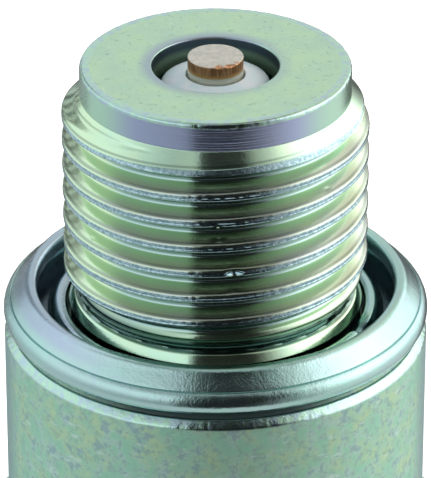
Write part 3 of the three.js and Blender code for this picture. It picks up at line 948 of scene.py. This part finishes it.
def side_light(s, azimuth, elevation, warm_lamp):
    """All round the plug: the gap, a softbox on each side, the wall behind, and slats at the rear left."""
    upper = s.step(elevation, -20.0, 25.0)
    left = s.blend(upper, s.blend(s.step(azimuth, -18.0, -100.0), 0.5, 0.75), 1.15)
    right = s.blend(upper, 1.0, s.blend(warm_lamp, 2.3, 1.15))
    behind = s.blend(s.step(elevation, -12.0, 8.0), 0.14, 0.92)
    light = s.blend(s.step(azimuth, -18.0, -22.0), GAP_LIGHT, left)
    light = s.blend(s.step(azimuth, s.blend(upper, 14.0, 30.0), 84.0), light, right)
    wall_start, wall_full = s.blend(upper, 130.0, 142.0), s.blend(upper, 148.0, 160.0)
    light = s.blend(s.step(s.size_of(azimuth), wall_start, wall_full), light, behind)
    rear_left = s.times(s.band(azimuth, -162.0, -143.0, 4.0), s.step(elevation, 40.0, 34.0))
    slat_pitch = 5.0
    slats = s.step(s.math("SINE", s.times(azimuth, 2 * math.pi / slat_pitch)), -0.35, 0.35)
    return s.blend(rear_left, light, s.blend(slats, GAP_LIGHT, 0.8))


def ceiling_light(s, x, y):
    """Overhead: dim, bright towards the back but for a dark strip in line with the gap."""
    overhead = s.blend(s.step(s.size_of(x), 0.15, 0.4), 0.55, 0.34)
    strip = s.times(s.step(x, -0.14, -0.09), s.step(x, 0.34, 0.2))
    return s.blend(s.step(y, 0.2, 0.36), overhead, s.blend(strip, 1.0, 0.11))


def floor():
    """A pale table top below the hanging plug, glowing a little so that it stays white."""
    half = 2.0
    z = NUT_END - 8 * MM
    corners = [(-half, -half, z), (half, -half, z), (half, half, z), (-half, half, z)]
    mesh = bpy.data.meshes.new("floor")
    mesh.from_pydata(corners, [], [(0, 1, 2, 3)])
    made = bpy.data.objects.new("floor", mesh)
    bpy.context.scene.collection.objects.link(made)
    material = bpy.data.materials.new("pale_floor")
    s = Shader(material)
    white = (1, 1, 1, 1)
    s.surface(Base_Color=(0.9, 0.9, 0.9, 1), Roughness=0.9, Emission_Color=white, Emission_Strength=0.7)
    mesh.materials.append(material)
    made.visible_glossy = False  # the plating mirrors the softboxes, not the floor


def camera():
    """The photograph's view: 25.5 degrees above the ring face, from about 19 cm."""
    data = bpy.data.cameras.new("camera")
    made = bpy.data.objects.new("camera", data)
    bpy.context.scene.collection.objects.link(made)
    bpy.context.scene.camera = made
    distance = 194 * MM
    elevation = math.radians(25.5)
    view_height = 21.35 * MM  # what the picture's height covers at the ring face
    face_above_middle = 7.8 * MM
    data.sensor_width = 36
    data.lens = distance / view_height * data.sensor_width
    data.clip_start, data.clip_end = 0.01, 10
    made.location = (0, -distance * math.cos(elevation), FACE_Z + distance * math.sin(elevation))
    made.rotation_euler = (math.pi / 2 - elevation - math.atan(face_above_middle / distance), 0, 0)


# ---- build ----

def dress(piece, body, material, node):
    """A new piece that stands in for a CAD node and rides on its body."""
    piece.data.materials.append(material)
    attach(piece, body)
    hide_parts(node)


def refinish(node, material):
    """A CAD node that keeps its shape and gets a new finish."""
    for place in frame["nodes"][node].material_slots:
        place.material = material


dress(shell(), "plug_body", plated_material(), "shell")
dress(gasket(), "captive_gasket", gasket_material(), "gasket")
dress(insulator(), "plug_body", ceramic_material(), "insulator")
dress(electrode(), "plug_body", nickel_material(), "electrode_sheath")

# Name, darker tone, lighter tone, metallic, roughness
nickel_plate = plain_material("terminal_finish", (0.56, 0.54, 0.50), (0.70, 0.68, 0.63), 1.0, 0.22)
steel = plain_material("steel_finish", (0.36, 0.36, 0.35), (0.52, 0.52, 0.50), 1.0, 0.3)
talc = plain_material("talc_finish", (0.62, 0.60, 0.54), (0.76, 0.74, 0.68), 0.0, 0.8)
copper = plain_material("copper_finish", (0.55, 0.26, 0.15), (0.70, 0.38, 0.24), 1.0, 0.3)
glass = plain_material("seal_glass_finish", (0.04, 0.035, 0.03), (0.08, 0.07, 0.06), 0.0, 0.3)
resistor = plain_material("resistor_finish", (0.02, 0.02, 0.02), (0.05, 0.045, 0.045), 0.0, 0.7)

dress(terminal_nut(), "removable_nut", nickel_plate, "terminal_nut")
dress(stud(), "plug_body", steel, "terminal_stud")
for sealed_piece in ("seat_washer", "lower_wire_ring", "upper_wire_ring"):
    refinish(sealed_piece, steel)
refinish("talc_fill", talc)
refinish("electrode_core", copper)
refinish("lower_glass_seal", glass)
refinish("upper_glass_seal", glass)
refinish("resistor", resistor)

world()
floor()
camera()
bpy.context.scene.view_settings.view_transform = "Standard"
